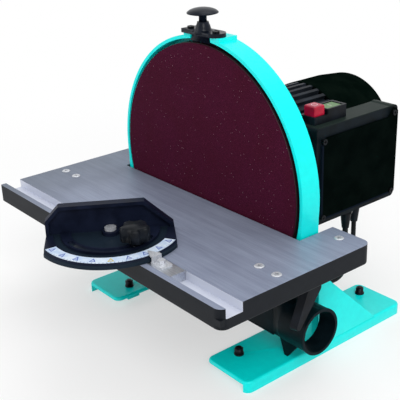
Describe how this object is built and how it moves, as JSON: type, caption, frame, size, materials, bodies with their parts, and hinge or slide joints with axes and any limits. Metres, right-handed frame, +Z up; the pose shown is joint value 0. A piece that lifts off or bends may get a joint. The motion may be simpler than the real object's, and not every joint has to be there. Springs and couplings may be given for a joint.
{
  "type": "benchtop disc sander",
  "caption": "Benchtop disc sander with cast arch guard, tilting slotted table, miter gauge, sprung disc brake, side switch box and dust port",
  "frame": {"origin": "middle between the two front foot bolt holes, on the bench plane", "axes": "+Z up, +Y from the sanding face towards the motor (disc axis), +X to the operator's right"},
  "size_m": [0.433, 0.4858, 0.3869],
  "materials": {
    "cyan_paint": "gloss enamel over casting",
    "black_paint": "satin paint",
    "black_plastic": "fine grain",
    "gauge_paint": "satin enamel",
    "machined_alu": "milled top, black painted edge",
    "disc_alu": "turned",
    "grit": "coated abrasive",
    "zinc": "bright zinc",
    "steel": "ground",
    "dark_steel": "black oxide",
    "cord_rubber": "smooth sheath",
    "red_plastic": "moulded",
    "green_plastic": "moulded",
    "scale_print": "printed strip"
  },
  "bodies": {
    "base": {"base_casting": "cyan_paint", "lower_cover": "black_plastic", "cover_screws": "zinc", "front_shield": "black_paint", "motor_body": "black_paint", "rear_shield": "black_paint", "stator_core": "steel", "windings": "black_plastic", "fan_cowl": "black_paint", "front_bearing": "steel", "rear_bearing": "steel", "switch_box": "black_plastic", "box_cover": "black_plastic", "box_screws": "zinc", "switch_body": "black_plastic", "run_capacitor": "black_plastic", "mains_gland": "black_plastic", "lead_gland": "black_plastic", "motor_gland": "black_plastic", "motor_lead": "cord_rubber", "mains_cord": "cord_rubber", "mains_cord_coil": "cord_rubber", "cord_tie": "black_plastic", "mains_plug": "black_plastic", "plug_pins": "zinc", "brake_body": "black_plastic", "brake_screws": "dark_steel", "brake_spring": "steel", "pivot_pins": "steel", "lock_studs": "steel", "foot_bolts": "dark_steel", "foot_nuts": "dark_steel"},
    "disc": {"disc_plate": "disc_alu", "abrasive_disc": "grit", "disc_key": "steel", "disc_set_screw": "steel", "motor_shaft": "steel", "rotor_core": "steel", "cooling_fan": "black_plastic"},
    "brake": {"brake_knob": "black_plastic", "brake_stem": "steel", "brake_shoe": "cord_rubber"},
    "table": {"table": "machined_alu", "table_screws": "zinc", "trunnion_left": "black_paint", "trunnion_right": "black_paint"},
    "lever_right": {"lock_lever_right": "black_plastic"},
    "lever_left": {"lock_lever_left": "black_plastic"},
    "gauge_bar": {"miter_bar": "zinc", "miter_stud": "steel", "miter_pointer": "zinc", "pointer_bolt": "zinc", "miter_pivot": "zinc"},
    "gauge_head": {"miter_head": "gauge_paint", "miter_scale": "scale_print"},
    "gauge_knob": {"miter_knob": "black_plastic"},
    "stop": {"stop_button": "red_plastic"},
    "start": {"start_button": "green_plastic"}
  },
  "joints": [
    {"name": "disc_spin", "type": "hinge", "parent": "base", "child": "disc", "pos_m": [0, 0.06, 0.195], "axis": [0, 1, 0], "continuous": true},
    {"name": "brake_push", "type": "slide", "parent": "base", "child": "brake", "axis": [0, 0, -1], "range_m": [0, 0.0068], "stiffness_N_per_m": 900, "deforming": ["brake_spring"]},
    {"name": "table_tilt", "type": "hinge", "parent": "base", "child": "table", "pos_m": [0, 0.049, 0.138], "axis": [1, 0, 0], "range_deg": [0, 45]},
    {"name": "lever_right_turn", "type": "hinge", "parent": "base", "child": "lever_right", "pos_m": [0.185, 0.035, 0.12], "axis": [1, 0, 0], "range_deg": [-15, 8]},
    {"name": "lever_left_turn", "type": "hinge", "parent": "base", "child": "lever_left", "pos_m": [-0.185, 0.035, 0.12], "axis": [1, 0, 0], "range_deg": [-15, 8]},
    {"name": "miter_slide", "type": "slide", "parent": "table", "child": "gauge_bar", "axis": [1, 0, 0], "range_m": [-0.135, 0.08]},
    {"name": "miter_swivel", "type": "hinge", "parent": "gauge_bar", "child": "gauge_head", "pos_m": [0.0125, -0.0968, 0.162], "axis": [0, 0, 1], "range_deg": [-26.6, 93.4]},
    {"name": "miter_knob_turn", "type": "hinge", "parent": "gauge_bar", "child": "gauge_knob", "pos_m": [0.0605, -0.0968, 0.175], "axis": [0, 0, 1], "range_deg": [-180, 180]},
    {"name": "stop_press", "type": "slide", "parent": "base", "child": "stop", "axis": [0, 0, -1], "range_m": [0, 0.003], "stiffness_N_per_m": 600},
    {"name": "start_press", "type": "slide", "parent": "base", "child": "start", "axis": [0, 0, -1], "range_m": [0, 0.003], "stiffness_N_per_m": 600}
  ]
}
